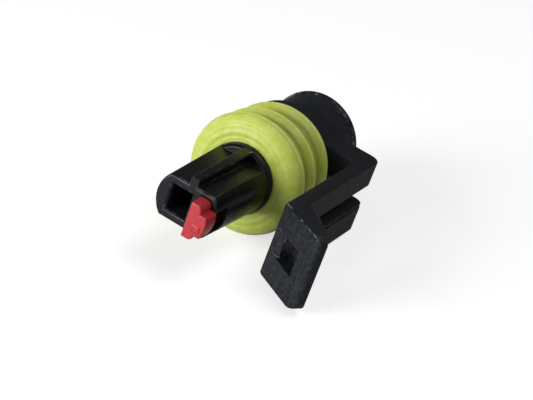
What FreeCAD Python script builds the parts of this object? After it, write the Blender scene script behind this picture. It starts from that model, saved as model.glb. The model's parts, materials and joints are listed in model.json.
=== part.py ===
import FreeCAD, Part
import math
import os
from FreeCAD import Rotation, Vector

# Sealed single-way plug connector: a moulded housing with a latch at its side,
# a ribbed silicone ring seal round its middle, and a sliding secondary lock in its nose.
#
# The pieces are drawn in the connector's own axes, in millimetres:
#   x  towards the latch, y  along the connector from the nose's front face to the rear,
#   z  up, square to the two flats of the nose.
# They are then turned together to the attitude in which the connector lies on a table.

# Nose: two round lobes between two flats, a little thicker at its root
nose_radius = 4.26
nose_half_height = 2.97
nose_length = 13.25
nose_growth = 1.09
nose_lobe_offset = 0.32
nose_edge = 0.2
key_width_front = 1.13
key_width_rear = 1.5
key_offset_front = -0.08
key_offset_rear = 0.2
key_top_front = 4.13
key_top_rear = 4.74
key_chamfer = 0.17

# Contact cavity, open at the nose's front face
cavity_width = 2.81
cavity_half_height = 1.79
cavity_centre = -1.24
cavity_length = 17.5
cavity_lead_in = 0.25

# Round parts on the connector's axis
collar_radius = 4.8
collar_length = 1.17
collar_chamfer = 0.35
flange_radius = 7.4
flange_thickness = 2.2
neck_radius = 6.75
neck_length = 1.5
barrel_radius = 6.3
barrel_draft = 0.15
rim_radius = 6.66
rim_length = 0.8
rim_step = 0.12
overall_length = 34.37
edge_round = 0.2

# Wire entry at the rear
entry_radius = 5.25
entry_depth = 7.0
wire_bore_radius = 2.8
wire_bore_offset = -0.8
wire_bore_lead_in = 0.45

# Ring seal with three ribs
seal_length = 10.25
seal_front_step = 0.3
rib_radius = (8.29, 8.05, 7.81)
rib_place = (1.95, 5.51, 9.47)
rib_half_width = 1.45
groove_depth = 0.8
seal_rear_half_width = 0.5

# Latch: two arms from the rear, bridged in front by a sloping tab
arm_inner = 10.34
arm_thickness = 2.17
latch_half_width = 5.28
arm_gap = 2.64
arm_rear = 27.3
arm_rear_round = 1.5
arm_root_fillet = 0.7
bridge_rear = 7.1
arm_edge_round = 0.45
tab_front_inner = 4.22
tab_slope = 0.61
tab_length = 8.59
tab_end_thickness = 1.55
tab_knee_place = 3.5
tab_knee_thickness = 2.88
tab_root_rear = 6.6
tab_end_round = 0.85
tab_end_fade = 0.9
tab_back_round = 0.6
tab_corner_round = 1.7
window_inner = 12.25
window_length = 2.87
window_half_width = 1.73
ramp_start = 0.35
ramp_middle = 1.15
ramp_depth_middle = 0.16
ramp_depth = 0.5

# Secondary lock, drawn at its pre-lock place, and the space that it slides in
lock_travel = 2.4
lock_proud = 2.45
lock_clearance = 0.06
lock_stop_gap = 0.1
lock_left = 1.46
lock_web_right = 3.05
lock_web_top = 2.4
lock_web_bottom = -2.5
lock_web_corner = 0.75
lock_wing_top = 1.32
lock_wing_bottom = -1.72
lock_edge = 0.12
prong_half_height = 1.2
prong_length = 3.4
prong_tip = 0.45
channel_length = 10.4

# Lance that holds the contact, and that the lock's prong blocks
lance_tip = 3.9
lance_root = 10.0
lance_half_width = 1.0
lance_thickness = 0.7
lance_gap = 0.25
nib_height = 0.75
nib_flat = 0.6
nib_ramp = 1.7

# Places that follow from the sizes above
nose_root = nose_length - collar_length
seal_rear = nose_length + seal_length
flange_rear = seal_rear + flange_thickness
entry_floor = overall_length - entry_depth
cavity_left = cavity_centre - cavity_width / 2
cavity_right = cavity_centre + cavity_width / 2
channel_left = lock_left - lock_clearance
channel_right = lock_web_right + lock_clearance
arm_outer = arm_inner + arm_thickness
tab_lean = math.atan(tab_slope)
rib_y = [nose_length + place for place in rib_place]


def box(x0, x1, y0, y1, z0, z1):
    return Part.makeBox(x1 - x0, y1 - y0, z1 - z0, Vector(x0, y0, z0))


def polygon_prism(points, direction):
    """A closed outline through the points, swept along the direction."""
    wire = Part.makePolygon([*points, points[0]])
    return Part.Face(wire).extrude(direction)


def turned(outline):
    """A solid of revolution about the connector's axis, from (radius, y) edges."""
    face = Part.Face(Part.Wire(outline))
    return face.revolve(Vector(0, 0, 0), Vector(0, 1, 0), 360)


def line(start, end):
    return Part.LineSegment(Vector(*start, 0), Vector(*end, 0)).toShape()


def arc(start, middle, end):
    return Part.Arc(Vector(*start, 0), Vector(*middle, 0), Vector(*end, 0)).toShape()


def edges_near(shape, places, reach=0.05):
    """The edges whose middle lies at one of the given places."""
    found = []
    for edge in shape.Edges:
        middle = edge.valueAt((edge.FirstParameter + edge.LastParameter) / 2)
        if any(middle.distanceToPoint(place) < reach for place in places):
            found.append(edge)
    return found


def nose_section(y, inset=0.0):
    """The nose's outline at a place along it: a right arc, a left arc and two flats."""
    growth = 1 + (nose_growth - 1) * y / nose_length
    radius = nose_radius * growth - inset
    half_height = nose_half_height * growth - inset
    left_centre = -nose_lobe_offset * growth
    chord = math.sqrt(radius ** 2 - half_height ** 2)

    def at(x, z):
        return Vector(x, y, z)

    top_left = at(left_centre - chord, half_height)
    top_right = at(chord, half_height)
    bottom_right = at(chord, -half_height)
    bottom_left = at(left_centre - chord, -half_height)
    return Part.Wire([
        Part.LineSegment(top_left, top_right).toShape(),
        Part.Arc(top_right, at(radius, 0), bottom_right).toShape(),
        Part.LineSegment(bottom_right, bottom_left).toShape(),
        Part.Arc(bottom_left, at(left_centre - radius, 0), top_left).toShape(),
    ])


def key_section(y, middle, width, top):
    foot = nose_half_height / 2
    left = middle - width / 2
    right = middle + width / 2
    corners = [(left, foot), (left, top), (right, top), (right, foot), (left, foot)]
    return Part.makePolygon([Vector(x, y, z) for x, z in corners])


def key_rib():
    """The polarising rib on the upper flat: it widens to the rear and has broken upper corners."""
    front = key_section(0, key_offset_front, key_width_front, key_top_front)
    rear = key_section(nose_length, key_offset_rear, key_width_rear, key_top_rear)
    rib = Part.makeLoft([front, rear], True, True)
    middle = (key_offset_front + key_offset_rear) / 2
    reach = (key_width_front + key_width_rear) / 4
    height = (key_top_front + key_top_rear) / 2
    corners = [Vector(x, nose_length / 2, height) for x in (middle - reach, middle + reach)]
    return rib.makeChamfer(key_chamfer, edges_near(rib, corners))


def nose():
    tip = Part.makeLoft([nose_section(0, nose_edge), nose_section(nose_edge)], True, True)
    body = Part.makeLoft([nose_section(nose_edge), nose_section(nose_length)], True, True)
    return tip.fuse([body, key_rib()])


def round_body():
    """Collar, seal seat, flange, neck, wire-entry barrel and its rim, turned in one piece."""
    rim_front = overall_length - rim_length
    outline = [
        (0, nose_root),
        (collar_radius - collar_chamfer, nose_root),
        (collar_radius, nose_root + collar_chamfer),
        (collar_radius, seal_rear),
        (flange_radius - edge_round, seal_rear),
        (flange_radius, seal_rear + edge_round),
        (flange_radius, flange_rear - edge_round),
        (flange_radius - edge_round, flange_rear),
        (neck_radius, flange_rear),
        (barrel_radius, flange_rear + neck_length),
        (barrel_radius + barrel_draft, rim_front - rim_step),
        (rim_radius, rim_front),
        (rim_radius, overall_length - edge_round),
        (rim_radius - edge_round, overall_length),
        (0, overall_length),
    ]
    closed = outline[1:] + outline[:1]
    return turned([line(a, b) for a, b in zip(outline, closed)])


def on_tab(along, deep):
    """A place (x, y) on the tab, from its front inner edge: out along its face, then into it."""
    return (arm_inner + along * math.cos(tab_lean) + deep * math.sin(tab_lean),
            tab_front_inner - along * math.sin(tab_lean) + deep * math.cos(tab_lean))


def latch_profile():
    """The latch seen along z: tab, arm and root, as places (x, y)."""
    root_inner = barrel_radius / 2
    return [
        on_tab(0, 0),
        on_tab(tab_length, 0),
        on_tab(tab_length, tab_end_thickness),
        on_tab(tab_knee_place, tab_knee_thickness),
        (arm_outer, tab_root_rear),
        (arm_outer, arm_rear),
        (root_inner, arm_rear),
        (root_inner, seal_rear),
        (arm_inner, seal_rear),
    ]


def latch():
    """Arms and tab as one moulding, before it joins the round body."""
    profile = latch_profile()
    points = [Vector(x, y, -latch_half_width) for x, y in profile]
    solid = polygon_prism(points, Vector(0, 0, 2 * latch_half_width))
    rounds = [
        (profile[2], tab_back_round),
        ((arm_inner, seal_rear), arm_root_fillet),
        ((arm_outer, arm_rear), arm_rear_round),
    ]
    for place, radius in rounds:
        solid = solid.makeFillet(radius, edges_near(solid, [Vector(*place, 0)]))

    arm_middle = (tab_front_inner + seal_rear - arm_root_fillet) / 2
    long_edges = [Vector(arm_inner, arm_middle, side * latch_half_width) for side in (-1, 1)]
    solid = solid.makeFillet(arm_edge_round, edges_near(solid, long_edges))
    return solid.cut([tab_end_waste(), arm_slot(), tab_window(), tab_ramp()])


def tab_plate(half_width, corner):
    """A plate in the tab's own axes, with its two outer corners rounded."""
    depth = 2 * tab_knee_thickness
    plate = box(0, tab_length, 0, depth, -half_width, half_width)
    upright = [Vector(tab_length, depth / 2, side * half_width) for side in (-1, 1)]
    return plate.makeFillet(corner, edges_near(plate, upright))


def tab_end_waste():
    """What the rounded outer end takes away from the square tab.

    The corners are round, and so is the front edge. That rounding is full along the end and
    fades out round the corners, because it follows a wider plate.
    """
    kept = tab_plate(latch_half_width, tab_corner_round)
    wider = tab_plate(latch_half_width + tab_end_fade, tab_corner_round + tab_end_fade)
    front = [edge for edge in wider.Edges
             if edge.BoundBox.YMax < 1e-6 and edge.BoundBox.XMax > 1e-6]
    kept = kept.common(wider.makeFillet(tab_end_round, front))

    start = tab_length - tab_corner_round - tab_end_fade
    reach = latch_half_width + tab_end_fade
    waste = box(start, tab_length + tab_corner_round, -tab_corner_round, tab_knee_thickness,
                -reach, reach).cut(kept)
    waste.Placement = FreeCAD.Placement(
        Vector(arm_inner, tab_front_inner, 0),
        Rotation(Vector(0, 0, 1), -math.degrees(tab_lean)))
    return waste


def arm_slot():
    """The gap between the arms: round in front, open at the rear, where a mating tooth locks."""
    half = arm_gap / 2
    start = bridge_rear + half
    slot = box(0, arm_outer + 1, start, arm_rear + 1, -half, half)
    end = Part.makeCylinder(half, arm_outer + 1, Vector(0, start, 0), Vector(1, 0, 0))
    return slot.fuse(end)


def tab_window():
    """The square hole through the sloping tab, cored straight along the connector."""
    return box(window_inner, window_inner + window_length, -tab_length, arm_rear,
               -window_half_width, window_half_width)


def tab_ramp():
    """The rounded lead-in for the mating tooth, from the tab's inner edge down to its window."""
    start = on_tab(ramp_start, 0)
    middle = on_tab(ramp_middle, ramp_depth_middle)
    end_along = (window_inner - arm_inner - ramp_depth * math.sin(tab_lean)) / math.cos(tab_lean)
    end = on_tab(end_along, ramp_depth)
    outside = (end[0], start[1] - tab_length)
    wire = Part.Wire([arc(start, middle, end), line(end, outside), line(outside, start)])
    profile = Part.Face(wire)
    profile.translate(Vector(0, 0, -window_half_width))
    return profile.extrude(Vector(0, 0, 2 * window_half_width))


def contact_cavity():
    """The rectangular cavity for the contact, with a sloping lead-in at its mouth."""
    straight = box(cavity_left, cavity_right, -1, cavity_length,
                   -cavity_half_height, cavity_half_height)

    def mouth(y, spread):
        return Part.makePolygon([
            Vector(cavity_left - spread, y, -cavity_half_height - spread),
            Vector(cavity_right + spread, y, -cavity_half_height - spread),
            Vector(cavity_right + spread, y, cavity_half_height + spread),
            Vector(cavity_left - spread, y, cavity_half_height + spread),
            Vector(cavity_left - spread, y, -cavity_half_height - spread),
        ])

    lead_in = Part.makeLoft([mouth(0, cavity_lead_in), mouth(cavity_lead_in, 0)], True, True)
    return straight.fuse(lead_in)


def wire_entry():
    """The round bore for the wire seal, its lead-in and the wider entry behind it."""
    axis = Vector(0, 1, 0)
    bore_end = Vector(wire_bore_offset, cavity_length, 0)
    bore = Part.makeCylinder(wire_bore_radius, entry_floor - cavity_length + 1, bore_end, axis)
    cone_foot = Vector(wire_bore_offset, entry_floor - wire_bore_lead_in, 0)
    cone = Part.makeCone(wire_bore_radius, wire_bore_radius + wire_bore_lead_in,
                         wire_bore_lead_in, cone_foot, axis)
    entry = Part.makeCylinder(entry_radius, entry_depth + 1, Vector(0, entry_floor, 0), axis)
    return bore.fuse([cone, entry])


def lock_section(y, grow):
    """The lock's T-shaped outline across the nose, enlarged by a clearance."""
    left = lock_left - grow
    right = lock_web_right + grow
    top = lock_web_top + grow
    bottom = lock_web_bottom - grow
    wing_right = nose_radius + nose_half_height
    web = box(left, right, y, y + 1, bottom, top)
    rounded = [Vector(right, y + 0.5, z) for z in (bottom, top)]
    web = web.makeFillet(lock_web_corner, edges_near(web, rounded))
    wing = box(left, wing_right, y, y + 1, lock_wing_bottom - grow, lock_wing_top + grow)
    face = web.fuse(wing).removeSplitter()
    return [f for f in face.Faces if abs(f.CenterOfMass.y - y) < 1e-6][0]


def lock_space():
    """The recess for the lock's head, and the channel for its prong and for the lance."""
    depth = lock_travel + lock_stop_gap
    recess = lock_section(-1, lock_clearance).extrude(Vector(0, 1 + depth, 0))
    half = prong_half_height + lock_clearance
    channel = box(channel_left, channel_right, 0, channel_length, -half, half)
    return recess.fuse(channel)


def lance_opening():
    """The opening in the wall between the cavity and the lock's channel."""
    half = lance_half_width + lance_gap
    middle = (cavity_left + cavity_right) / 2
    return box(middle, channel_left + 0.01, lance_tip - lance_gap, lance_root, -half, half)


def lance():
    """A sprung finger from the rear, with a nib that reaches into the contact cavity."""
    left = (cavity_right + channel_left - lance_thickness) / 2
    right = left + lance_thickness
    beam = box(left, right, lance_tip, lance_root + lance_gap,
               -lance_half_width, lance_half_width)
    nib = polygon_prism([
        Vector(left, lance_tip, -lance_half_width),
        Vector(left - nib_height, lance_tip, -lance_half_width),
        Vector(left - nib_height, lance_tip + nib_flat, -lance_half_width),
        Vector(left, lance_tip + nib_flat + nib_ramp, -lance_half_width),
    ], Vector(0, 0, 2 * lance_half_width))
    return beam.fuse(nib)


def housing():
    outside = nose().fuse([round_body(), latch()])
    hollow = outside.cut([contact_cavity(), wire_entry(), lock_space(), lance_opening()])
    return hollow.fuse(lance()).removeSplitter()


def seal():
    """A ring on the housing's seat: a domed front face and three round-crested ribs."""
    rear = seal_rear
    outline = [line((collar_radius, rear), (collar_radius, nose_length))]
    first_foot = (rib_radius[0] - groove_depth, rib_y[0] + rib_half_width)
    front_inner = (collar_radius, nose_length)
    front_step = (collar_radius + seal_front_step, nose_length)
    crest = (rib_radius[0], rib_y[0])
    shoulder = (rib_radius[0] - groove_depth, rib_y[0] - rib_half_width)
    outline.append(line(front_inner, front_step))
    outline.append(line(front_step, shoulder))
    outline.append(arc(shoulder, crest, first_foot))
    place = first_foot
    for radius, y in zip(rib_radius[1:], rib_y[1:]):
        foot = radius - groove_depth
        front_foot = (foot, y - rib_half_width)
        outline.append(line(place, front_foot))
        place = (foot, y + rib_half_width)
        if place[1] > rear:
            rise = groove_depth * (1 - (seal_rear_half_width / rib_half_width) ** 2)
            place = (foot + rise, rear)
        outline.append(arc(front_foot, (radius, y), place))
    outline.append(line(place, (collar_radius, rear)))
    return turned(outline)


def lock():
    """Head and prong in one piece, with the head standing proud of the nose."""
    head = lock_section(-lock_proud, 0).extrude(Vector(0, lock_proud, 0))
    inside_lobe = Part.makeCylinder(nose_radius - lock_clearance, lock_proud,
                                    Vector(0, -lock_proud, 0), Vector(0, 1, 0))
    head = head.common(inside_lobe)
    front = [edge for edge in head.Edges
             if abs(edge.BoundBox.YMax + lock_proud) < 1e-6]
    head = head.makeChamfer(lock_edge, front)
    half = prong_half_height
    tip = prong_length - prong_tip
    prong = polygon_prism([
        Vector(lock_left, 0, -half),
        Vector(lock_web_right, 0, -half),
        Vector(lock_web_right, tip, -half),
        Vector(lock_web_right - prong_tip, prong_length, -half),
        Vector(lock_left, prong_length, -half),
    ], Vector(0, 0, 2 * half))
    return head.fuse(prong).removeSplitter()


def rest_turn():
    """The turn that lays the connector on its first and last rib and on its lower arm.

    The arm touches the table where its rear rounding starts.
    """
    pitch = math.atan2(rib_radius[0] - rib_radius[2], rib_y[2] - rib_y[0])
    touch = arm_rear - arm_rear_round
    floor_at_arm = rib_radius[0] / math.cos(pitch) - (touch - rib_y[0]) * math.tan(pitch)
    corner = math.hypot(arm_outer, latch_half_width)
    roll = math.asin(floor_at_arm / corner) - math.atan2(latch_half_width, arm_outer)
    about_axis = Rotation(Vector(0, 1, 0), math.degrees(roll))
    nose_up = Rotation(Vector(1, 0, 0), -math.degrees(pitch))
    return nose_up.multiply(about_axis)


def main():
    pieces = {"housing": housing(), "ring_seal": seal(), "secondary_lock": lock()}
    turn = rest_turn()
    for shape in pieces.values():
        shape.Placement = FreeCAD.Placement(Vector(0, 0, 0), turn)
    bounds = Part.makeCompound(list(pieces.values())).optimalBoundingBox(False, False)
    lift = Vector(-bounds.Center.x, -bounds.Center.y, -bounds.ZMin)

    os.makedirs("parts", exist_ok=True)
    for name, shape in pieces.items():
        shape.Placement = FreeCAD.Placement(lift, turn)
        shape.exportStep(f"parts/{name}.step")
        box_size = shape.optimalBoundingBox(False, False)
        print(f"{name}: {shape.Volume:.1f} mm3, {len(shape.Solids)} solid, "
              f"{box_size.XLength:.2f} x {box_size.YLength:.2f} x {box_size.ZLength:.2f} mm")
    print("lift", [round(value, 4) for value in lift], "turn", turn.Q)


main()
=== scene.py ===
# %% [markdown]
# # A sealed one-way plug for a car's wiring
# The plug has three pieces: a black moulded housing with a latch at its side, a ring seal of lime
# silicone rubber, and a small red lock that slides in the nose. Their solids come packed as a
# frame, which gives every size and place in metres. This script dresses that frame: it rounds what
# the mould rounds, adds the fine forms that only show close up, and gives each piece its finish.

import json
import math

import bmesh
import bpy
import numpy as np
from mathutils import Matrix, Vector


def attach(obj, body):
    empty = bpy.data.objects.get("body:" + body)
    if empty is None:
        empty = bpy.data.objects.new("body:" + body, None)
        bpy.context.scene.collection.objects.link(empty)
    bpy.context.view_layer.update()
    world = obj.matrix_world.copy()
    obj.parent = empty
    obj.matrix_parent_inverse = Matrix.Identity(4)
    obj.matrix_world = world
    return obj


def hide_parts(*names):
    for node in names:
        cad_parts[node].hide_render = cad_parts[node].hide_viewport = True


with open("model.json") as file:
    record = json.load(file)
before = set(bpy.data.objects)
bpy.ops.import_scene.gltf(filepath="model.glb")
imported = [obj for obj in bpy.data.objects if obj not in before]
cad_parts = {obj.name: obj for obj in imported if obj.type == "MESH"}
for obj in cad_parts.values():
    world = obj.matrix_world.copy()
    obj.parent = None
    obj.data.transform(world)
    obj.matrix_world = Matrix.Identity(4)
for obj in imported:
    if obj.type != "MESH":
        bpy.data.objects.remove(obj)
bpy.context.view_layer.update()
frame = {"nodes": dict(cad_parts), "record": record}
print("pieces in the frame:", sorted(frame["nodes"]))

# %% [markdown]
# ## The connector's own axes
# The plug lies tilted on the table, on its seal and one latch arm, so the frame's axes aren't its
# own. It is far easier to think along the connector: x towards the latch, y from the nose to the
# wire entry, z square to the nose's flats, in millimetres from the middle of the nose's front
# face. The two angles could be typed in, but the record's mounts already hold what is needed, and
# they still fit when the plug is laid another way: the mating face gives the origin, the bore for
# the wire seal gives y, and that bore stands a little off the axis, away from the latch, which
# gives x.

# %% Work out the connector's axes
MM = 0.001
mounts = {mount["name"]: mount for mount in frame["record"]["mounts"]}
nose_centre = Vector(mounts["mating_face"]["pos_m"])
rearward = Vector(mounts["wire_seal_bore"]["axis"]).normalized()
from_bore = nose_centre - Vector(mounts["wire_seal_bore"]["pos_m"])
latchward = (from_bore - from_bore.dot(rearward) * rearward).normalized()
upward = latchward.cross(rearward)
own_axes = Matrix((latchward, rearward, upward)).transposed()
axes_array = np.array(own_axes)
origin_array = np.array(nose_centre)


def in_frame(points):
    """Points in the connector's own millimetres, turned and shifted to the frame's metres."""
    return np.asarray(points) * MM @ axes_array.T + origin_array


def in_connector(points):
    """The way back: points in the frame's metres, as millimetres along the connector's axes."""
    return (np.asarray(points) - origin_array) @ axes_array / MM


print("the axis dips by", round(math.degrees(-math.asin(rearward.z)), 2), "degrees")

# %% [markdown]
# ## Colours and nodes
# Paint and plastic colours are usually read off as sRGB hex values, while a shader works in linear
# light, so one function turns the one into the other. Nodes could be placed and linked one by one,
# in many short lines. Here one function adds a node, sets its sockets and makes its links, so that
# each material below reads as a short recipe.

# %% Helpers for materials
def linear(hex_colour):
    """Linear red, green, blue and alpha of an sRGB colour such as "C8D45E"."""
    values = [int(hex_colour[i:i + 2], 16) / 255 for i in (0, 2, 4)]
    curve = [v / 12.92 if v <= 0.04045 else ((v + 0.055) / 1.055) ** 2.4 for v in values]
    return (*curve, 1.0)


def add(material, kind, *inputs, **settings):
    """A node of that kind. Inputs fill its sockets in order, settings are its own or name a socket.

    What is another node's socket is linked, anything else is set as a value.
    """
    tree = material.node_tree
    node = tree.nodes.new("ShaderNode" + kind)
    for name in [name for name in settings if hasattr(node, name)]:
        setattr(node, name, settings.pop(name))
    named = [(node.inputs[name.replace("_", " ")], value) for name, value in settings.items()]
    for socket, value in [*zip(node.inputs, inputs), *named]:
        if isinstance(value, bpy.types.NodeSocket):
            tree.links.new(value, socket)
        else:
            socket.default_value = value
    return node


def new_material(name):
    """A material with no nodes yet."""
    material = bpy.data.materials.new(name)
    material.use_nodes = True
    material.node_tree.nodes.clear()
    return material


def close_material(material, shader):
    """Links the shader to the material's output."""
    add(material, "OutputMaterial", Surface=shader.outputs[0])
    print("material:", material.name, len(material.node_tree.nodes), "nodes")
    return material


print("mid grey 808080 is", round(linear("808080")[0], 3), "in linear light")

# %% [markdown]
# ## Black glass-filled polyamide
# The housing is polyamide with short glass fibres, black right through. The tool was spark eroded,
# so most faces carry a fine, even grain that spreads the light: satin, not glossy. The nose slides
# through the mating seal, so its cavity in the tool was polished, and it mirrors what stands next
# to it. Edges that rub in the box of plugs are worn smooth and pale in places, and the pale on the
# rounded edges is also a painted highlight, for the glints that these edges catch. Wear is often
# painted by hand on an unwrapped surface; noise on Object coordinates, in which 1 unit is 1 metre,
# needs no unwrapping and has its true scale everywhere. The three finishes share the plastic, and
# differ in their grain, roughness and patches: the flow of the plastic leaves patches of half a
# millimetre, rubbing leaves larger ones. Real grain is about 0.03 mm, too fine to show, so it is
# drawn at 0.12 mm. Polyamide's refractive index is 1.53, and 0.4 is a usual roughness for a satin
# moulding; the shine was then brought down until the faces came out as dark as the real ones.

# %% Housing materials
GRAIN = 0.12 * MM
FLOW_PATCH = 0.45 * MM
WEAR_AND_GLINT_PATCH = 1.3 * MM
WEAR_AND_GLINT_FADE = 0.2
NOISE_LOW, NOISE_HIGH = 0.3, 0.7


def polyamide(name, patch, colour, wear_and_glint_colour, wear_and_glint_from, roughness, spread, grain_strength, shine):
    """Black plastic with cloudy changes of roughness, a fine grain, and pale patches of wear and painted
    glints.
    """
    material = new_material(name)
    place = add(material, "TexCoord").outputs["Object"]
    clouds = add(material, "TexNoise", Vector=place, Scale=1 / patch, Detail=3.0, Roughness=0.6)
    grain = add(material, "TexNoise", Vector=place, Scale=1 / GRAIN, Detail=2.0, Roughness=0.5)
    patchy_wear_and_glint = add(material, "MapRange", Value=clouds.outputs[0], From_Min=wear_and_glint_from,
                 From_Max=wear_and_glint_from + WEAR_AND_GLINT_FADE)
    wear_and_glint = add(material, "Attribute", attribute_name="wear_and_glint")
    share = add(material, "Math", patchy_wear_and_glint.outputs[0], wear_and_glint.outputs["Fac"], operation="MULTIPLY")
    tint = add(material, "Mix", data_type="RGBA", Factor=share.outputs[0],
               A=linear(colour), B=linear(wear_and_glint_colour))
    gloss = add(material, "MapRange", Value=clouds.outputs[0], From_Min=NOISE_LOW,
                From_Max=NOISE_HIGH, To_Min=roughness - spread, To_Max=roughness + spread)
    bump = add(material, "Bump", Height=grain.outputs[0], Strength=grain_strength, Distance=GRAIN)
    shader = add(material, "BsdfPrincipled", Base_Color=tint.outputs["Result"],
                 Roughness=gloss.outputs[0], Normal=bump.outputs[0], IOR=1.53,
                 Specular_IOR_Level=shine)
    return close_material(material, shader)


grained_plastic = polyamide(
    "polyamide_spark_eroded_grain", FLOW_PATCH, colour="1C1E22", wear_and_glint_colour="2D3036",
    wear_and_glint_from=0.42, roughness=0.48, spread=0.08, grain_strength=0.35, shine=0.1)
# Polished: a darker colour, which on the window walls in the tab is also a painted shade.
polished_and_shade_plastic = polyamide(
    "polyamide_polished_tool_and_painted_shade", FLOW_PATCH, colour="090A0A", wear_and_glint_colour="101112",
    wear_and_glint_from=0.42, roughness=0.3, spread=0.05, grain_strength=0.03, shine=0.26)
# Worn edges: pale patches that are wear and also a painted highlight, the glints of rounded edges.
worn_and_glinting_plastic = polyamide(
    "polyamide_worn_edge_and_painted_glint", WEAR_AND_GLINT_PATCH, colour="101214", wear_and_glint_colour="757A82",
    wear_and_glint_from=0.5, roughness=0.34, spread=0.06, grain_strength=0.2, shine=0.2)

# %% [markdown]
# ## Lime silicone rubber
# Liquid silicone is moulded without pigment fillers that would make it quite opaque, so light
# enters half a millimetre or so and comes out again. A plain glossy yellow-green would look like
# paint; subsurface scattering lets the light in. The grooves are painted a darker olive, a painted
# shade for the crest in front that keeps the light off them, and the thin crests are painted paler,
# a painted highlight for the light that shines through them: two numbers stored on the ring's
# points say how deep in a groove and how near a crest each point is, and the material mixes its
# colours by them. The surface is smooth with an oily bloom, which is a fairly low roughness broken
# up by soft patches. Silicone's refractive index is 1.41.

# %% Seal material
BLOOM_PATCH = 1.2 * MM
LIGHT_DEPTH = 0.45 * MM


def silicone(name, colour, bloom_colour, groove_shade_colour, crest_highlight_colour):
    """Translucent rubber with a patchy bloom, painted shade in its grooves, painted highlight on its
    crests.
    """
    material = new_material(name)
    place = add(material, "TexCoord").outputs["Object"]
    patches = add(material, "TexNoise", Vector=place, Scale=1 / BLOOM_PATCH, Detail=4.0,
                  Roughness=0.6)
    amount = add(material, "MapRange", Value=patches.outputs[0], From_Min=0.4, From_Max=0.75)
    tint = add(material, "Mix", data_type="RGBA", Factor=amount.outputs[0],
               A=linear(colour), B=linear(bloom_colour))
    # Painted shade darkens the grooves and a painted highlight pales the crests, by the stored numbers.
    for form, form_colour in (("groove", groove_shade_colour), ("crest", crest_highlight_colour)):
        share = add(material, "Attribute", attribute_name=form)
        tint = add(material, "Mix", data_type="RGBA", Factor=share.outputs["Fac"],
                   A=tint.outputs["Result"], B=linear(form_colour))
    gloss = add(material, "MapRange", Value=patches.outputs[0], From_Min=NOISE_LOW,
                From_Max=NOISE_HIGH, To_Min=0.38, To_Max=0.52)
    fine = add(material, "TexNoise", Vector=place, Scale=1 / GRAIN, Detail=2.0)
    bump = add(material, "Bump", Height=fine.outputs[0], Strength=0.12, Distance=GRAIN)
    shader = add(material, "BsdfPrincipled", Base_Color=tint.outputs["Result"],
                 Roughness=gloss.outputs[0], Normal=bump.outputs[0], IOR=1.41,
                 Subsurface_Weight=1.0, Subsurface_Scale=LIGHT_DEPTH,
                 Subsurface_Radius=(1.0, 0.9, 0.4), Sheen_Weight=0.08, Sheen_Roughness=0.5)
    return close_material(material, shader)


# The groove colour is a painted shade and the crest colour a painted highlight.
seal_rubber = silicone("silicone_rubber_lime", colour="BAC652", bloom_colour="CAD67C",
                       groove_shade_colour="989630", crest_highlight_colour="E2E87C")

# %% [markdown]
# ## Red polyester
# The lock is PBT, a hard polyester, moulded in a signal red so that the fitter sees at once
# whether it stands proud. It is a small, bright moulding with a fine satin surface. One flat red
# would do from afar; a slow change between two near reds keeps it from looking painted close up.
# PBT's refractive index is 1.55.

# %% Lock material
def polyester(name, colour, pale_colour):
    """Opaque red plastic with a soft sheen."""
    material = new_material(name)
    place = add(material, "TexCoord").outputs["Object"]
    clouds = add(material, "TexNoise", Vector=place, Scale=1 / BLOOM_PATCH, Detail=2.0)
    tint = add(material, "Mix", data_type="RGBA", Factor=clouds.outputs[0],
               A=linear(colour), B=linear(pale_colour))
    fine = add(material, "TexNoise", Vector=place, Scale=1 / GRAIN, Detail=2.0)
    bump = add(material, "Bump", Height=fine.outputs[0], Strength=0.15, Distance=GRAIN)
    shader = add(material, "BsdfPrincipled", Base_Color=tint.outputs["Result"],
                 Roughness=0.38, Normal=bump.outputs[0], IOR=1.55)
    return close_material(material, shader)


lock_plastic = polyester("pbt_signal_red", colour="AE202B", pale_colour="BC323C")

# %% [markdown]
# ## The ring seal
# The seal is a body of revolution, so one closed profile, carried round the axis, makes all of it.
# Its front face is a shallow dome with faint rings from the tool's turning; three round ribs
# follow, each a little lower than the one before, because the plug enters its mate nose first. The
# mould parts at each crest and leaves a hair-fine bead there, which catches the light. A Screw
# modifier could carry a drawn line round as well, but a profile worked out by formula also knows
# how deep each of its points lies, and the colours need that. The ends and the seat are measured
# on the seal's solid, and the ribs have the solid's sizes, so that the ring fills the same space.

# %% Measure the seal's solid
def rows_of_three(items, attribute):
    """That attribute of all points or faces of a mesh, as an array with three columns."""
    values = np.empty(3 * len(items))
    items.foreach_get(attribute, values)
    return values.reshape(-1, 3)


def solid_points(node):
    """The points of a node's solid, in the connector's own millimetres."""
    return in_connector(rows_of_three(frame["nodes"][node].data.vertices, "co"))


seal_solid = solid_points("ring_seal")
SEAL_FRONT, SEAL_REAR = seal_solid[:, 1].min().round(3), seal_solid[:, 1].max().round(3)
SEAT_RADIUS = np.hypot(seal_solid[:, 0], seal_solid[:, 2]).min().round(3)
print("the seal reaches from", SEAL_FRONT, "to", SEAL_REAR, "mm, on a seat of radius", SEAT_RADIUS)

# %% Work out the seal's profile
RIB_RADII = np.array([8.29, 8.05, 7.81])
RIB_PLACES = SEAL_FRONT + np.array([1.95, 5.51, 9.47])
RIB_HALF_WIDTH, GROOVE_DEPTH, LIP_WIDTH = 1.45, 0.8, 0.3
DOME_FOOT_RADIUS = SEAT_RADIUS + LIP_WIDTH
DOME_TOP_RADIUS = RIB_RADII[0] - GROOVE_DEPTH
DOME_TOP_PLACE = RIB_PLACES[0] - RIB_HALF_WIDTH
RING_PITCH, RING_FIRST, RING_HEIGHT, RING_FADE = 0.93, 6.05, 0.036, 1 / 8
BEAD_HEIGHT, BEAD_HALF_WIDTH, SHARPNESS = 0.06, 0.08, 30


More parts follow.
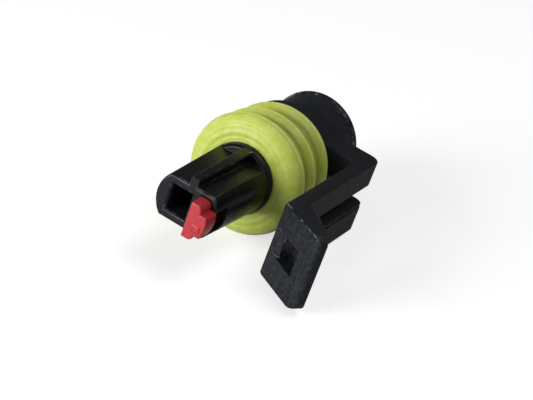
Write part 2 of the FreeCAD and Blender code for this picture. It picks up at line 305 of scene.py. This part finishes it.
def seal_front(radius):
    """Place along the axis of the front face: rise times t cubed from lip to rib, with cosine rings."""
    t = np.clip((radius - DOME_FOOT_RADIUS) / (DOME_TOP_RADIUS - DOME_FOOT_RADIUS), 0, 1)
    dome = SEAL_FRONT + (DOME_TOP_PLACE - SEAL_FRONT) * t ** 3
    rings = RING_HEIGHT * np.cos(2 * np.pi * (radius - RING_FIRST) / RING_PITCH)
    fade = np.clip(t / RING_FADE, 0, 1) * np.clip((1 - t) / RING_FADE, 0, 1)
    return dome - rings * fade


def seal_outside(place):
    """Radius of the ribbed outside at a place along the axis.

    Each crest is an arc: its top, less the bend, plus the root of bend squared less distance
    squared. A bead on it is its height times e to the minus squared share of its half width. The
    logarithm of summed exponentials takes the larger of arc and groove, with the corner softened.
    """
    bend = (RIB_HALF_WIDTH ** 2 + GROOVE_DEPTH ** 2) / (2 * GROOVE_DEPTH)
    radius = np.interp(place, RIB_PLACES, RIB_RADII - GROOVE_DEPTH)
    for crest, middle in zip(RIB_RADII, RIB_PLACES):
        away = place - middle
        arc = crest - BEAD_HEIGHT - bend + np.sqrt(np.maximum(bend ** 2 - away ** 2, 0))
        bead = BEAD_HEIGHT * np.exp(-(away / BEAD_HALF_WIDTH) ** 2)
        radius = np.logaddexp(radius * SHARPNESS, (arc + bead) * SHARPNESS) / SHARPNESS
    return np.minimum(radius, RIB_RADII.max())


print("radius at each crest:", seal_outside(RIB_PLACES).round(3))

# %% Close the profile
FRONT_POINTS, OUTSIDE_POINTS, REAR_POINTS, BORE_POINTS = 60, 240, 10, 12


def stretch(start, end, count):
    """Even steps along one side of the profile. Its end is the next side's start."""
    return np.linspace(start, end, count, endpoint=False)


front_radii = stretch(SEAT_RADIUS, DOME_TOP_RADIUS, FRONT_POINTS)
outside_places = stretch(DOME_TOP_PLACE, SEAL_REAR, OUTSIDE_POINTS)
rear_radii = stretch(seal_outside(SEAL_REAR), SEAT_RADIUS, REAR_POINTS)
bore_places = stretch(SEAL_REAR, SEAL_FRONT, BORE_POINTS)
sides = [(front_radii, seal_front(front_radii)), (seal_outside(outside_places), outside_places),
         (rear_radii, SEAL_REAR), (SEAT_RADIUS, bore_places)]
seal_profile = np.concatenate([np.stack(np.broadcast_arrays(*side), axis=1) for side in sides])
seal_radius, seal_place = seal_profile.T
print("seal profile:", len(seal_profile), "points, widest radius", seal_radius.max().round(3))

# %% [markdown]
# ## From a grid of points to a mesh
# A worked-out surface is a grid: rows of points in one direction, columns in the other. The faces
# are the same for every such grid, four neighbours each, so one function numbers their corners for
# the seal here and for the lock's raised frame further on. Each mesh is closed, and its signed
# volume tells which way its faces look. It comes out negative where they look inwards, which
# depends on the way that rows and columns run, and then they are all turned round.

# %% Helpers for grids
def grid_points(x, y, z):
    """One row of x, y and z for each point of a grid, from arrays that broadcast to that grid."""
    return np.stack(np.broadcast_arrays(x, y, z), axis=-1).reshape(-1, 3)


def grid_faces(rows, columns, closed):
    """Corners of a grid's quads. Columns close into rings, and rows do where closed is true."""
    gaps = rows if closed else rows - 1
    row, column = np.meshgrid(np.arange(gaps), np.arange(columns), indexing="ij")
    next_row, next_column = (row + 1) % rows, (column + 1) % columns
    corners = [(row, column), (row, next_column), (next_row, next_column), (next_row, column)]
    return np.stack([r * columns + c for r, c in corners], axis=-1).reshape(-1, 4).tolist()


print("a closed grid of 3 by 4 points has", len(grid_faces(3, 4, closed=True)), "faces")

# %% Helpers for pieces
def new_object(name, data):
    """An object at the origin, linked to the scene."""
    thing = bpy.data.objects.new(name, data)
    bpy.context.scene.collection.objects.link(thing)
    return thing


def signed_volume(mesh):
    """Cubic millimetres in a closed mesh, positive when its faces point outwards."""
    solid = bmesh.new()
    solid.from_mesh(mesh)
    volume = solid.calc_volume(signed=True)
    solid.free()
    return volume / MM ** 3


def new_piece(name, points, faces, material, sharp_angle=35):
    """A smooth-shaded mesh object that faces outwards, from points in the connector's millimetres."""
    mesh = bpy.data.meshes.new(name)
    mesh.from_pydata(in_frame(points).tolist(), [], faces)
    if signed_volume(mesh) < 0:
        mesh.flip_normals()
    mesh.materials.append(material)
    mesh.shade_smooth()
    mesh.set_sharp_from_angle(angle=math.radians(sharp_angle))
    print("piece:", name, len(points), "points,", len(faces), "faces,",
          round(signed_volume(mesh), 4), "mm3")
    return new_object(name, mesh)


# %% Carry the seal's profile round the axis
SEAL_STEPS = 200


def surface_of_revolution(radius, place, steps):
    """Rings about the axis: x = r cos a, y = place, z = r sin a, a row for each profile point."""
    angle = np.linspace(0, 2 * np.pi, steps, endpoint=False)
    radius, place = radius[:, None], place[:, None]
    return grid_points(radius * np.cos(angle), place, radius * np.sin(angle))


seal = new_piece("ring_seal_moulded", surface_of_revolution(seal_radius, seal_place, SEAL_STEPS),
                 grid_faces(len(seal_profile), SEAL_STEPS, closed=True), seal_rubber)
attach(seal, "plug_body")
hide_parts("ring_seal")

# %% Store the painted groove shade and crest highlight on its points
CREST_LINE_HALF_WIDTH = 0.16
GROOVE_PAINTED_SHADE, CREST_PAINTED_HIGHLIGHT = 0.7, 0.8


def store(mesh, name, values):
    """Keeps one number for each point of the mesh, which a material reads by its name."""
    mesh.attributes.new(name, "FLOAT", "POINT").data.foreach_set("value", values)


below_crests = np.interp(seal_place, RIB_PLACES, RIB_RADII) - seal_radius
from_crest = np.abs(seal_place[:, None] - RIB_PLACES).min(axis=1)
near_top = below_crests < GROOVE_DEPTH / 4
# Painted shade: darker deeper in each groove behind the first crest, where the crest in front keeps the
# light off.
groove = GROOVE_PAINTED_SHADE * (seal_place > RIB_PLACES[0]) * (below_crests / GROOVE_DEPTH) ** 2
# Painted highlight: paler along each crest, where light shines through the thin rubber.
crest = CREST_PAINTED_HIGHLIGHT * near_top * np.exp(-(from_crest / CREST_LINE_HALF_WIDTH) ** 2)
for name, share in (("groove", groove), ("crest", crest)):
    store(seal.data, name, np.repeat(np.clip(share, 0, 1), SEAL_STEPS))
    print(name, "share: mean", share.clip(0, 1).mean().round(3))

# %% [markdown]
# ## The housing
# One moulding with hundreds of edges. Its solid is exact, but its edges are knife sharp, and no
# mould leaves those: a radius of a tenth of a millimetre draws the thin light lines that make black
# plastic readable. Modelling it all again in Blender would only lose the exact sizes. So a copy of
# the solid's mesh is merged, its flat faces are joined again, and a Bevel modifier rounds every
# edge that is sharp enough to be a real one. The rounded strips get a material slot of their own,
# the one for worn edges, whose pale patches are partly worn plastic and partly a painted highlight.

# %% Round the housing's edges
MERGE_WITHIN = 0.002 * MM
FLAT_DEGREES = 0.05
REAL_EDGE_DEGREES = 32
HOUSING_ROUND = 0.1


def merged_copy(node, name):
    """A copy of a node's loose triangles as one closed mesh, with flat neighbours joined."""
    solid = bmesh.new()
    solid.from_mesh(frame["nodes"][node].data)
    bmesh.ops.remove_doubles(solid, verts=solid.verts, dist=MERGE_WITHIN)
    bmesh.ops.dissolve_limit(solid, angle_limit=math.radians(FLAT_DEGREES), verts=solid.verts,
                             edges=solid.edges)
    mesh = bpy.data.meshes.new(name)
    solid.to_mesh(mesh)
    solid.free()
    print("piece:", name, len(mesh.polygons), "faces")
    return new_object(name, mesh)


def round_edges(piece, width, edge_slot=-1):
    """A two-step bevel, width in millimetres, on all real edges; slot -1 keeps their material."""
    real_edge = math.radians(REAL_EDGE_DEGREES)
    piece.data.shade_smooth()
    piece.data.set_sharp_from_angle(angle=real_edge)
    bevel = piece.modifiers.new("moulded_edges", "BEVEL")
    bevel.width = width * MM
    bevel.segments = 2
    bevel.limit_method = "ANGLE"
    bevel.angle_limit = real_edge
    bevel.use_clamp_overlap = False
    bevel.material = edge_slot
    evened = piece.modifiers.new("even_shading", "WEIGHTED_NORMAL")
    evened.keep_sharp = True


housing = merged_copy("housing", "housing_moulded")
finishes = [grained_plastic, polished_and_shade_plastic, worn_and_glinting_plastic]
for finish in finishes:
    housing.data.materials.append(finish)
round_edges(housing, HOUSING_ROUND, finishes.index(worn_and_glinting_plastic))
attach(housing, "plug_body")
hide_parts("housing")

# %% [markdown]
# ## Where the housing is polished
# The sides of the nose are polished, and so are the walls of the hole in the tab, along which a
# steel core slides out; on those walls the polished finish's darker colour is also a painted shade
# for the shadow inside the hole. The nose's front face keeps the grain, and so do the walls of the
# contact cavity, which stay dark. Faces could be picked by hand, but a changed solid would need
# picking again; a rule on where each face lies, along the connector's axes, picks them in one go.

# %% Give the nose its polished finish, and the window walls a painted shade
NOSE_REACH, FRONT_EDGE = 5.2, 0.3
CAVITY_MIDDLE, CAVITY_HALF = (-1.24, 6.0, 0.0), (1.6, 7.0, 2.0)
WINDOW_MIDDLE, WINDOW_HALF = (13.68, 1.5, 0.0), (1.5, 5.0, 1.8)
WALL_TILT = 0.1


def inside(points, middle, half):
    """Which points lie in the box with that middle and those half sizes."""
    return (np.abs(points - np.array(middle)) < np.array(half)).all(axis=1)


centres = in_connector(rows_of_three(housing.data.polygons, "center"))
normals = rows_of_three(housing.data.polygons, "normal") @ axes_array
from_axis = np.hypot(centres[:, 0], centres[:, 2])
on_nose = (from_axis < NOSE_REACH) & (centres[:, 1] > FRONT_EDGE) & (centres[:, 1] < SEAL_FRONT)
in_cavity = inside(centres, CAVITY_MIDDLE, CAVITY_HALF)
# The window walls take the darker polished colour as a painted shade, for the shadow inside the hole.
shaded_window_walls = inside(centres, WINDOW_MIDDLE, WINDOW_HALF) & (np.abs(normals[:, 1]) < WALL_TILT)
polished_and_shaded = (on_nose & ~in_cavity) | shaded_window_walls
polished_and_shade_slot, grained_slot = finishes.index(polished_and_shade_plastic), finishes.index(grained_plastic)
slot_of_face = np.where(polished_and_shaded, polished_and_shade_slot, grained_slot).astype(np.int32)
housing.data.polygons.foreach_set("material_index", slot_of_face)
print("polished faces:", int(polished_and_shaded.sum()), "of", len(polished_and_shaded))

# %% [markdown]
# ## Where the housing is worn, and where its edges get painted glints
# Plugs are tipped loose into a box and rub against each other. What stands free is rubbed most:
# the sloping tab and the rear rim. The nose's front is a little worn, and all else hardly. A map
# painted by hand could show that too. Here each point gets a number from 0 to 1 by its place, and
# the material multiplies its own patches by it, so that they stay irregular. On the rounded edges
# those pale patches are also a painted highlight, the glints along the tab's top edge and the
# nose's front.

# %% Say where the housing is worn and where its edges get a painted highlight
NOSE_FRONT_TO, TAB_FROM, TAB_BACK_TO, RIM_FROM = 0.4, 10.0, 5.0, 30.0
FULL_WEAR_AND_GLINT, NOSE_WEAR_AND_GLINT, LITTLE_WEAR_AND_GLINT = 0.9, 0.45, 0.1

along_x, along_y = in_connector(rows_of_three(housing.data.vertices, "co"))[:, :2].T
on_tab_or_rim = ((along_x > TAB_FROM) & (along_y < TAB_BACK_TO)) | (along_y > RIM_FROM)
# One number per point sets how worn each place is and how much painted highlight its rounded edges show.
wear_and_glint = np.where(on_tab_or_rim, FULL_WEAR_AND_GLINT, np.where(along_y < NOSE_FRONT_TO, NOSE_WEAR_AND_GLINT, LITTLE_WEAR_AND_GLINT))
store(housing.data, "wear_and_glint", wear_and_glint)
print("well-worn points:", int(on_tab_or_rim.sum()), "of", len(wear_and_glint))

# %% [markdown]
# ## The secondary lock
# A T-shaped head that stands proud of the nose until it is pushed home, with a prong behind it. The
# same rounding works here, at half the width, as the piece is so small. Its front carries a small
# raised frame, where a finger or a driver presses it home. That could be bump in the material, but
# it has an outline of its own in raking light, so it is a mesh: five rings of one rounded
# rectangle, from a foot sunk in the head up to the rim and down to the lower middle.

# %% Round the lock
LOCK_ROUND = 0.05

lock = merged_copy("secondary_lock", "secondary_lock_moulded")
round_edges(lock, LOCK_ROUND)
lock.data.materials.append(lock_plastic)
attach(lock, "lock_slider")
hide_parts("secondary_lock")

# %% Add the raised frame on its front
LOCK_FRONT = solid_points("secondary_lock")[:, 1].min().round(3)
PAD_CENTRE, PAD_HALF, PAD_HEIGHT, PAD_CORNER_POWER = (3.05, -0.75), (0.6, 0.55), 0.1, 6
PAD_RING_SCALES = np.array([[1.0], [1.0], [0.94], [0.66], [0.6]])
PAD_RING_HEIGHTS = np.array([[-0.2], [0.7], [1.0], [1.0], [0.4]])
PAD_STEPS, PAD_RINGS = 32, len(PAD_RING_SCALES)


def raised_pad(centre, half, height, power):
    """Rings of the rounded rectangle |x/a|^p + |z/b|^p = 1: a sunk foot, a rim and a lower middle."""
    angle = np.linspace(0, 2 * np.pi, PAD_STEPS, endpoint=False)
    reach = (np.abs(np.cos(angle)) ** power + np.abs(np.sin(angle)) ** power) ** (-1 / power)
    x = centre[0] + half[0] * PAD_RING_SCALES * reach * np.cos(angle)
    z = centre[1] + half[1] * PAD_RING_SCALES * reach * np.sin(angle)
    return grid_points(x, LOCK_FRONT - height * PAD_RING_HEIGHTS, z)


pad_foot = np.arange(PAD_STEPS)[::-1].tolist()
pad_middle = (np.arange(PAD_STEPS) + (PAD_RINGS - 1) * PAD_STEPS).tolist()
pad = new_piece("lock_press_pad", raised_pad(PAD_CENTRE, PAD_HALF, PAD_HEIGHT, PAD_CORNER_POWER),
                [*grid_faces(PAD_RINGS, PAD_STEPS, closed=False), pad_foot, pad_middle],
                lock_plastic, sharp_angle=50)
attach(pad, "lock_slider")

# %% [markdown]
# ## Table and light
# A small black object needs a pale table, as only that draws its outline. A white table would do
# that, but it also throws light back onto the latch arms and greys them. So the table is light
# grey, and a glow turns it white for the camera alone; mirror images and clear things show a weak
# share of that glow. The large key lamp stands in front, low and to the left, and lights the faces
# of the nose and the tab. A lamp above and a little behind draws the seal's ribs, a faint one
# fills from the right, and the sky is even and dim.

# %% Table
FLOOR_HALF = 1.2
FLOOR_GLOW = 0.62
GLOW_IN_REFLECTIONS = 0.02


def glowing_laminate(name, colour):
    """Matt laminate and its glow: camera ray times glow, plus mirror or clear ray times a weak share."""
    material = new_material(name)
    matt = add(material, "BsdfDiffuse", Color=linear(colour))
    path = add(material, "LightPath")
    mirrored = add(material, "Math", path.outputs["Is Glossy Ray"],
                   path.outputs["Is Transmission Ray"], operation="MAXIMUM")
    weak = add(material, "Math", mirrored.outputs[0], GLOW_IN_REFLECTIONS, operation="MULTIPLY")
    power = add(material, "Math", path.outputs["Is Camera Ray"], FLOOR_GLOW, weak.outputs[0],
                operation="MULTIPLY_ADD")
    glow = add(material, "Emission", Strength=power.outputs[0])
    both = add(material, "AddShader", matt.outputs[0], glow.outputs[0])
    return close_material(material, both)


floor_mesh = bpy.data.meshes.new("table_top")
floor_corners = [(x * FLOOR_HALF, y * FLOOR_HALF, 0) for x, y in ((-1, -1), (1, -1), (1, 1), (-1, 1))]
floor_mesh.from_pydata(floor_corners, [], [(0, 1, 2, 3)])
floor_mesh.materials.append(glowing_laminate("matt_white_laminate", "C4C4C4"))
floor = new_object("table_top", floor_mesh)

# %% Lamps and sky
SKY_STRENGTH = 0.12


def soft_lamp(name, direction, distance, size, power):
    """A square lamp that stands off in a direction and faces the plug."""
    lamp = bpy.data.lights.new(name, "AREA")
    lamp.shape = "SQUARE"
    lamp.size = size
    lamp.energy = power
    holder = new_object(name, lamp)
    towards = Vector(direction).normalized()
    holder.location = towards * distance
    holder.rotation_euler = towards.to_track_quat("Z", "Y").to_euler()
    print("lamp:", name, power, "W")


soft_lamp("key_lamp", direction=(-0.5, -0.9, 0.32), distance=0.5, size=0.3, power=2.9)
soft_lamp("side_lamp", direction=(0.7, -0.35, 0.65), distance=0.5, size=0.25, power=0.05)
soft_lamp("top_lamp", direction=(0.4, 0.1, 0.9), distance=0.6, size=0.3, power=1.3)

world = bpy.data.worlds.new("even_sky")
bpy.context.scene.world = world
world.use_nodes = True
world.node_tree.nodes["Background"].inputs["Color"].default_value = linear("FFFFFF")
world.node_tree.nodes["Background"].inputs["Strength"].default_value = SKY_STRENGTH

# %% [markdown]
# ## The camera
# A close-up with a long lens from above the nose, on the latch's side. A camera can be aimed at the
# object by a constraint, but then it can't be rolled freely. Here its position and its directions
# are given along the connector's own axes, because that is how the picture was measured, and the
# lens in pixels of that picture, which is 533 pixels wide.

# %% Camera
CAMERA_PLACE = (71.51, -167.96, 98.26)
CAMERA_RIGHT = (0.8221, 0.4753, 0.3134)
CAMERA_DOWN = (0.4785, -0.2785, -0.8328)
LENS_PIXELS, PICTURE_WIDTH, SENSOR_WIDTH = 1697, 533, 36
NEAREST_SEEN = 0.01

camera = new_object("camera", bpy.data.cameras.new("camera"))
camera.data.sensor_width = SENSOR_WIDTH
camera.data.lens = LENS_PIXELS / PICTURE_WIDTH * SENSOR_WIDTH
camera.data.clip_start = NEAREST_SEEN
right = (own_axes @ Vector(CAMERA_RIGHT)).normalized()
up = -(own_axes @ Vector(CAMERA_DOWN)).normalized()
camera.matrix_world = Matrix.Translation(Vector(in_frame(CAMERA_PLACE))) @ Matrix(
    (right, up, right.cross(up))).transposed().to_4x4()
bpy.context.scene.camera = camera
bpy.context.scene.view_settings.view_transform = "Standard"
print("lens in mm:", round(camera.data.lens, 1))
